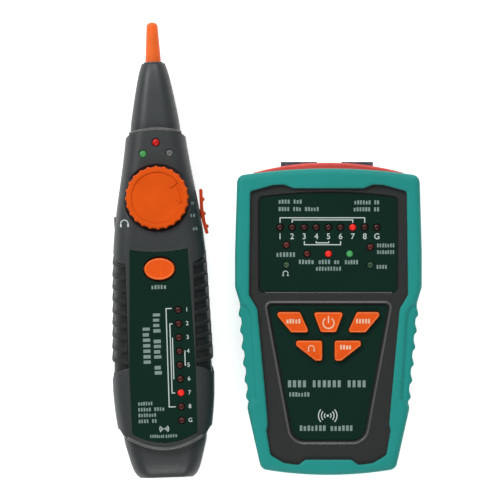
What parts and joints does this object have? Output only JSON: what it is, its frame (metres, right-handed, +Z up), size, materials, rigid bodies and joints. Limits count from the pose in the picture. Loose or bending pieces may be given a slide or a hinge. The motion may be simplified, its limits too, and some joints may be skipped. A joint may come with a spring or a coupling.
{
  "type": "network tone probe kit",
  "caption": "Tone transmitter in a rubber boot with two modular sockets, beside a hand-held receiver probe with a volume wheel and a tapered tip.",
  "frame": {"origin": "on the table, at the middle of the kit's outline", "axes": "+Z up from the backs to the faces of both devices, +Y towards the sockets and the probe's tip, +X from the probe to the transmitter"},
  "size_m": [0.1302, 0.1924, 0.0334],
  "materials": {
    "boot_rubber": "soft matt teal rubber",
    "grip_rubber": "soft matt charcoal rubber",
    "case_plastic": "fine textured charcoal ABS",
    "probe_plastic": "fine textured charcoal ABS",
    "overlay_film": "matt dark green printed film",
    "panel_plastic": "semi-gloss red plastic",
    "key_silicone": "orange silicone",
    "knob_plastic": "orange plastic",
    "tip_plastic": "orange plastic",
    "slider_plastic": "orange plastic",
    "board_laminate": "green glass-fibre laminate",
    "red_lens": "tinted red epoxy",
    "green_lens": "tinted green epoxy",
    "clear_lens": "clear epoxy",
    "switch_black": "black moulded nylon",
    "jack_plastic": "black moulded nylon",
    "shield_steel": "tinned steel",
    "contact_gold": "gold plated",
    "battery_case": "printed steel can",
    "snap_vinyl": "black vinyl",
    "lead_vinyl": "vinyl insulation",
    "screw_steel": "zinc plated",
    "ferrite": "pressed ferrite",
    "coil_copper": "enamelled copper on a bobbin",
    "speaker_body": "stamped steel basket",
    "shaft_metal": "turned"
  },
  "bodies": {
    "transmitter": {"transmitter_rubber_boot": "boot_rubber", "transmitter_front_cover": "case_plastic", "transmitter_rear_cover": "case_plastic", "transmitter_connector_panel": "panel_plastic", "transmitter_display_overlay": "overlay_film", "transmitter_keypad_overlay": "overlay_film", "transmitter_circuit_board": "board_laminate", "transmitter_key_switches": "switch_black", "transmitter_wire_leds": "red_lens", "transmitter_status_red_leds": "red_lens", "transmitter_status_green_leds": "green_lens", "rj45_socket_shield": "shield_steel", "rj45_socket_insert": "jack_plastic", "rj45_socket_contacts": "contact_gold", "rj11_socket_shield": "shield_steel", "rj11_socket_insert": "jack_plastic", "rj11_socket_contacts": "contact_gold", "transmitter_battery": "battery_case", "transmitter_battery_snap": "snap_vinyl", "transmitter_battery_leads": "lead_vinyl", "transmitter_case_screws": "screw_steel"},
    "probe": {"probe_front_shell": "probe_plastic", "probe_rear_shell": "probe_plastic", "probe_nose": "probe_plastic", "probe_tip": "tip_plastic", "probe_tail_cap": "probe_plastic", "probe_left_grip": "grip_rubber", "probe_right_grip": "grip_rubber", "probe_label_panel": "overlay_film", "volume_control": "switch_black", "probe_scan_switch": "switch_black", "mode_switch": "switch_black", "probe_circuit_board": "board_laminate", "probe_wire_leds": "red_lens", "antenna_rod": "ferrite", "antenna_coil": "coil_copper", "speaker": "speaker_body", "headphone_jack": "jack_plastic", "probe_battery": "battery_case", "probe_battery_snap": "snap_vinyl", "probe_battery_leads": "lead_vinyl", "probe_case_screws": "screw_steel", "signal_led": "red_lens", "probe_power_led": "green_lens", "work_lamp": "clear_lens"},
    "volume_knob": {"volume_knob": "knob_plastic", "volume_shaft": "shaft_metal"},
    "probe_scan_button": {"probe_scan_button": "key_silicone"},
    "mode_slider": {"mode_slider": "slider_plastic"},
    "transmitter_battery_door": {"transmitter_battery_door": "case_plastic"},
    "probe_battery_door": {"probe_battery_door": "probe_plastic"},
    "scan_key": {"scan_key": "key_silicone"},
    "power_key": {"power_key": "key_silicone"},
    "test_key": {"test_key": "key_silicone"},
    "ohm_key": {"ohm_key": "key_silicone"},
    "polarity_key": {"polarity_key": "key_silicone"}
  },
  "joints": [
    {"name": "scan_key_press", "type": "slide", "parent": "transmitter", "child": "scan_key", "axis": [0, 0, -1], "range_m": [0, 0.0008], "stiffness_N_per_m": 900, "springref_m": -0.001},
    {"name": "power_key_press", "type": "slide", "parent": "transmitter", "child": "power_key", "axis": [0, 0, -1], "range_m": [0, 0.0008], "stiffness_N_per_m": 900, "springref_m": -0.001},
    {"name": "test_key_press", "type": "slide", "parent": "transmitter", "child": "test_key", "axis": [0, 0, -1], "range_m": [0, 0.0008], "stiffness_N_per_m": 900, "springref_m": -0.001},
    {"name": "ohm_key_press", "type": "slide", "parent": "transmitter", "child": "ohm_key", "axis": [0, 0, -1], "range_m": [0, 0.0008], "stiffness_N_per_m": 900, "springref_m": -0.001},
    {"name": "polarity_key_press", "type": "slide", "parent": "transmitter", "child": "polarity_key", "axis": [0, 0, -1], "range_m": [0, 0.0008], "stiffness_N_per_m": 900, "springref_m": -0.001},
    {"name": "transmitter_battery_door_hinge", "type": "hinge", "parent": "transmitter", "child": "transmitter_battery_door", "pos_m": [0.0259, -0.03108, 0.0025], "axis": [1, 0, 0], "range_deg": [0, 90]},
    {"name": "probe_lift", "type": "slide", "parent": "transmitter", "child": "probe", "axis": [0, 0, 1], "range_m": [0, 0.1]},
    {"name": "volume_knob_turn", "type": "hinge", "parent": "probe", "child": "volume_knob", "pos_m": [-0.046, 0.02191, 0.03], "axis": [0, 0, 1], "range_deg": [-135, 135]},
    {"name": "mode_slider_slide", "type": "slide", "parent": "probe", "child": "mode_slider", "axis": [-0.165, 0.9863, 0], "range_m": [-0.004, 0.004]},
    {"name": "probe_scan_button_press", "type": "slide", "parent": "probe", "child": "probe_scan_button", "axis": [0, 0, -1], "range_m": [0, 0.0008], "stiffness_N_per_m": 900, "springref_m": -0.001},
    {"name": "probe_battery_door_hinge", "type": "hinge", "parent": "probe", "child": "probe_battery_door", "pos_m": [-0.04451, -0.02307, 0.001], "axis": [0.9995, 0.0332, 0], "range_deg": [0, 90]}
  ]
}
